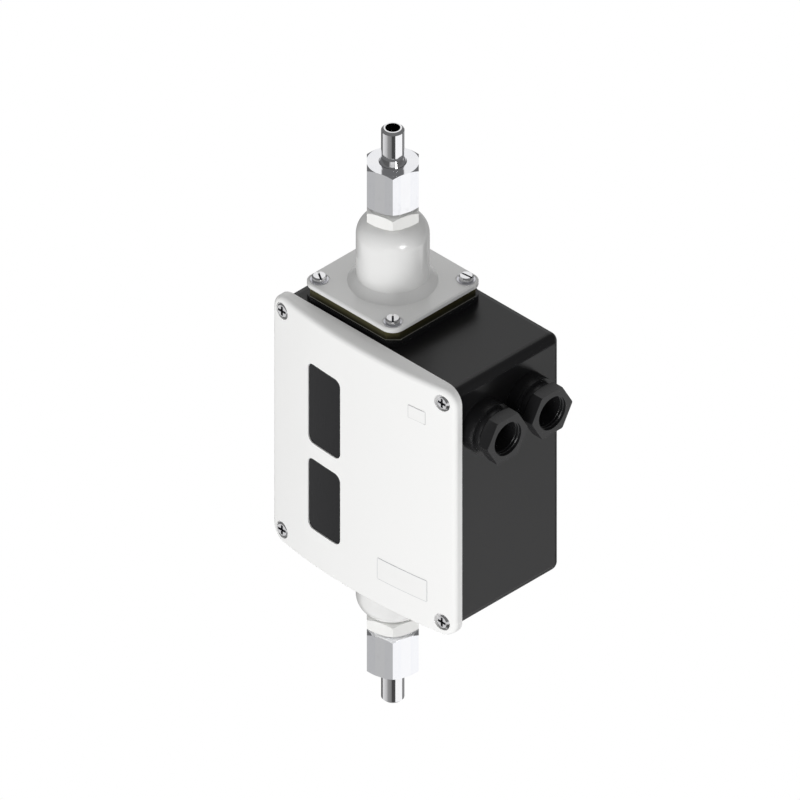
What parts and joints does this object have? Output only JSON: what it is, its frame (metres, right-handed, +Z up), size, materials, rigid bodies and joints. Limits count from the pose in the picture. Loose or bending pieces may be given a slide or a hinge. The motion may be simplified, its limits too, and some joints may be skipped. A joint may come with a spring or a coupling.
{
  "type": "differential pressure switch",
  "caption": "Wall-mounted differential pressure switch: a black housing with a bulged white cover between two bellows elements with weld nipples, and side cable glands.",
  "frame": {"origin": "centre of the pair of wall-fixing holes, on the housing's back face", "axes": "+X to the side with the cable glands, +Y into the wall, +Z up along the pressure axis"},
  "size_m": [0.1223, 0.0719, 0.2959],
  "materials": {
    "black_housing": "satin",
    "white_cover": "satin",
    "seal_rubber": "matt",
    "smoked_pane": "gloss",
    "bright_screw": "zinc plated",
    "grey_paint": "gloss paint",
    "chromated_steel": "yellow chromated",
    "bright_nickel": "nickel plated",
    "yellow_brass": "satin",
    "soft_aluminium": "satin",
    "spring_steel": "oiled",
    "disc_metal": "satin",
    "black_moulding": "satin"
  },
  "bodies": {
    "base": {"arm_bracket": "chromated_steel", "arm_pin": "bright_screw", "chassis": "chromated_steel", "contact_leads": "yellow_brass", "cover_gasket": "seal_rubber", "cover_screws": "bright_screw", "earth_terminal": "bright_screw", "front_cover": "white_cover", "front_gland_nut": "black_moulding", "front_gland_seal": "seal_rubber", "front_gland_washer": "bright_screw", "guide_rod": "bright_screw", "housing": "black_housing", "lower_bellows": "yellow_brass", "lower_bellows_housing": "grey_paint", "lower_connector": "grey_paint", "lower_flange_screws": "bright_screw", "lower_flange_washers": "bright_screw", "lower_guide_bush": "yellow_brass", "lower_nipple_gasket": "soft_aluminium", "lower_union_nut": "bright_nickel", "lower_weld_nipple": "bright_nickel", "lower_window": "smoked_pane", "main_spring": "spring_steel", "range_scale": "soft_aluminium", "rear_gland_nut": "black_moulding", "rear_gland_seal": "seal_rubber", "rear_gland_washer": "bright_screw", "switch_block": "black_moulding", "switch_screws": "bright_screw", "terminal_block": "black_moulding", "terminal_screws": "bright_screw", "upper_adapter_plate": "chromated_steel", "upper_bellows": "yellow_brass", "upper_bellows_housing": "grey_paint", "upper_connector": "grey_paint", "upper_flange_screws": "bright_screw", "upper_flange_washers": "bright_screw", "upper_guide_bush": "yellow_brass", "upper_nipple_gasket": "soft_aluminium", "upper_union_nut": "bright_nickel", "upper_weld_nipple": "bright_nickel", "upper_window": "smoked_pane"},
    "spindle": {"main_spindle": "bright_screw", "spring_retainer": "yellow_brass", "upper_bellows_cap": "yellow_brass", "lower_bellows_cap": "yellow_brass"},
    "disc": {"setting_disc": "disc_metal"},
    "seat": {"spring_seat": "yellow_brass"},
    "arm": {"contact_arm": "yellow_brass"},
    "plunger": {"switch_plunger": "black_moulding"}
  },
  "joints": [
    {"name": "spindle_slide", "type": "slide", "parent": "base", "child": "spindle", "axis": [0, 0, 1], "range_m": [-0.001, 0.001], "stiffness_N_per_m": 5000, "deforming": ["upper_bellows", "lower_bellows"]},
    {"name": "disc_turn", "type": "hinge", "parent": "base", "child": "disc", "pos_m": [-0.0164, -0.0329, -0.03], "axis": [0, 0, 1], "range_deg": [-2160, 1440]},
    {"name": "seat_slide", "type": "slide", "parent": "base", "child": "seat", "axis": [0, 0, 1], "range_m": [-0.008, 0.012], "deforming": ["main_spring"]},
    {"name": "arm_rock", "type": "hinge", "parent": "base", "child": "arm", "pos_m": [0.006, -0.0329, -0.04795], "axis": [0, 1, 0], "range_deg": [-2.6, 2.6]},
    {"name": "plunger_slide", "type": "slide", "parent": "base", "child": "plunger", "axis": [0, 0, 1], "range_m": [-0.0006, 0.0006]}
  ],
  "couplings": [
    {"joint": "disc_turn", "follows": "seat_slide", "rad_per_m": -3141.5},
    {"joint": "arm_rock", "follows": "spindle_slide", "rad_per_m": 44.643},
    {"joint": "plunger_slide", "follows": "spindle_slide", "ratio": -0.5759}
  ]
}
